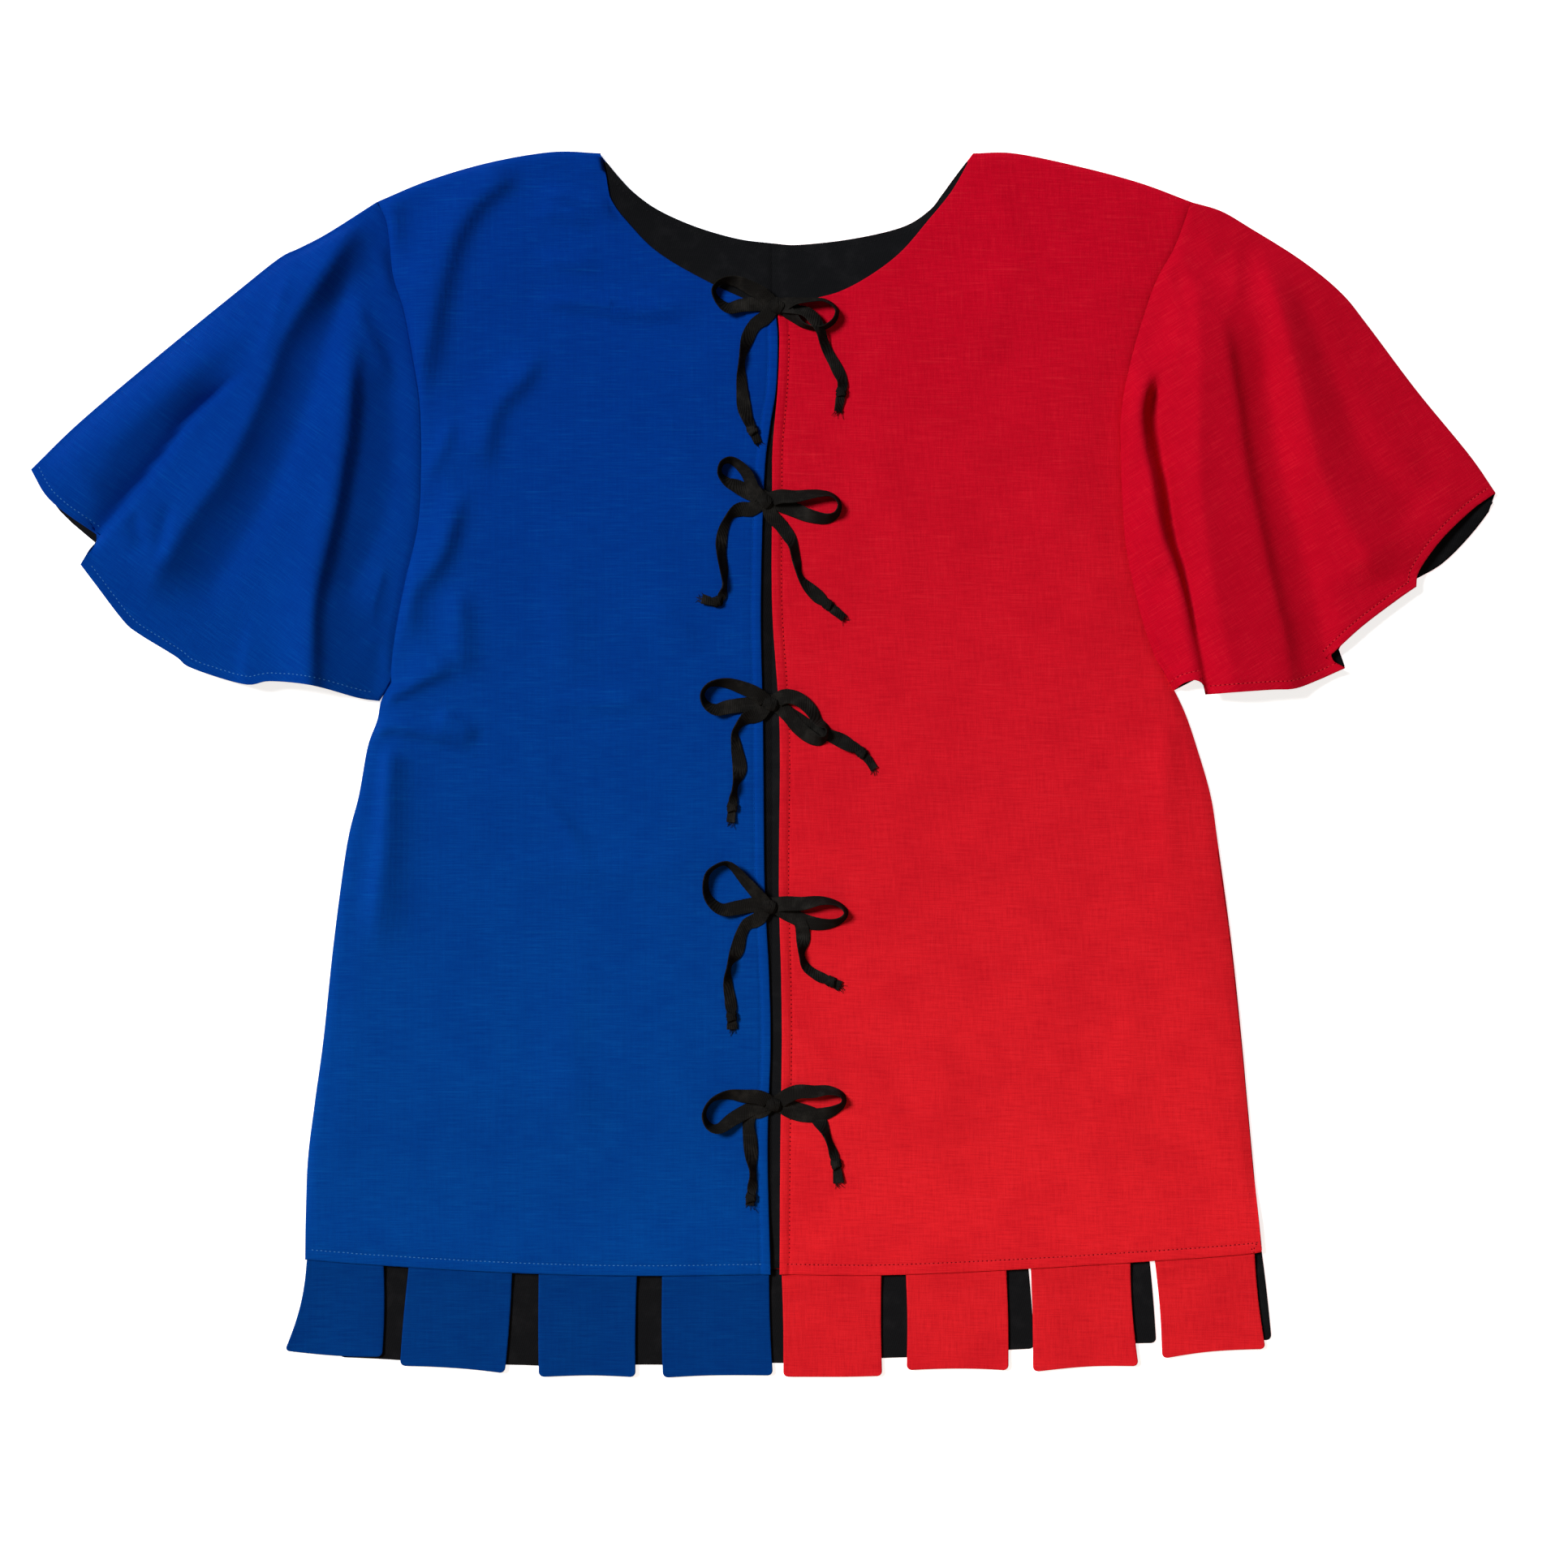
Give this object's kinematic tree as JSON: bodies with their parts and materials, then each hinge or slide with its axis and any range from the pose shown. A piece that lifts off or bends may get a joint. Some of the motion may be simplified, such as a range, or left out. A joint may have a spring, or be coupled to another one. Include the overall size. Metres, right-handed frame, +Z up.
{
  "type": "medieval surcoat",
  "caption": "Parti-coloured linen surcoat lying flat: open front tied with tape bows, black lining, short bell sleeves and a hem of square dags.",
  "frame": {"origin": "middle of the footprint, on the surface that the garment lies on", "axes": "+X from the blue sleeve to the red sleeve, +Y from the hem to the neck, +Z up from the surface, out of the front"},
  "size_m": [0.992, 0.8302, 0.0202],
  "materials": {
    "blue_linen": "matt plain-woven linen, mid blue with lighter slubs",
    "red_linen": "matt plain-woven linen, bright red, slightly heathered",
    "black_lining": "matt plain-woven black lining",
    "black_tape": "soft woven black tape, faintly brownish where worn"
  },
  "bodies": {
    "root": {"front_blue": "blue_linen", "back_blue": "blue_linen", "back_lining_blue": "black_lining", "sleeve_blue": "blue_linen", "sleeve_lining_blue": "black_lining", "dag_front_blue_1": "blue_linen", "dag_front_blue_2": "blue_linen", "dag_front_blue_3": "blue_linen", "dag_front_blue_4": "blue_linen", "front_red": "red_linen", "back_red": "red_linen", "back_lining_red": "black_lining", "sleeve_red": "red_linen", "sleeve_lining_red": "black_lining", "dag_front_red_1": "red_linen", "dag_front_red_2": "red_linen", "dag_front_red_3": "red_linen", "dag_front_red_4": "red_linen", "dag_back_1": "red_linen", "dag_back_2": "red_linen", "dag_back_3": "red_linen", "dag_back_4": "red_linen", "dag_back_5": "blue_linen", "dag_back_6": "blue_linen", "dag_back_7": "blue_linen", "dag_back_8": "blue_linen", "bow_1_knot": "black_tape", "bow_1_left_loop": "black_tape", "bow_1_right_loop": "black_tape", "bow_1_left_tail": "black_tape", "bow_1_right_tail": "black_tape", "bow_2_knot": "black_tape", "bow_2_left_loop": "black_tape", "bow_2_right_loop": "black_tape", "bow_2_left_tail": "black_tape", "bow_2_right_tail": "black_tape", "bow_3_knot": "black_tape", "bow_3_left_loop": "black_tape", "bow_3_right_loop": "black_tape", "bow_3_left_tail": "black_tape", "bow_3_right_tail": "black_tape", "bow_4_knot": "black_tape", "bow_4_left_loop": "black_tape", "bow_4_right_loop": "black_tape", "bow_4_left_tail": "black_tape", "bow_4_right_tail": "black_tape", "bow_5_knot": "black_tape", "bow_5_left_loop": "black_tape", "bow_5_right_loop": "black_tape", "bow_5_left_tail": "black_tape", "bow_5_right_tail": "black_tape"}
  },
  "joints": []
}
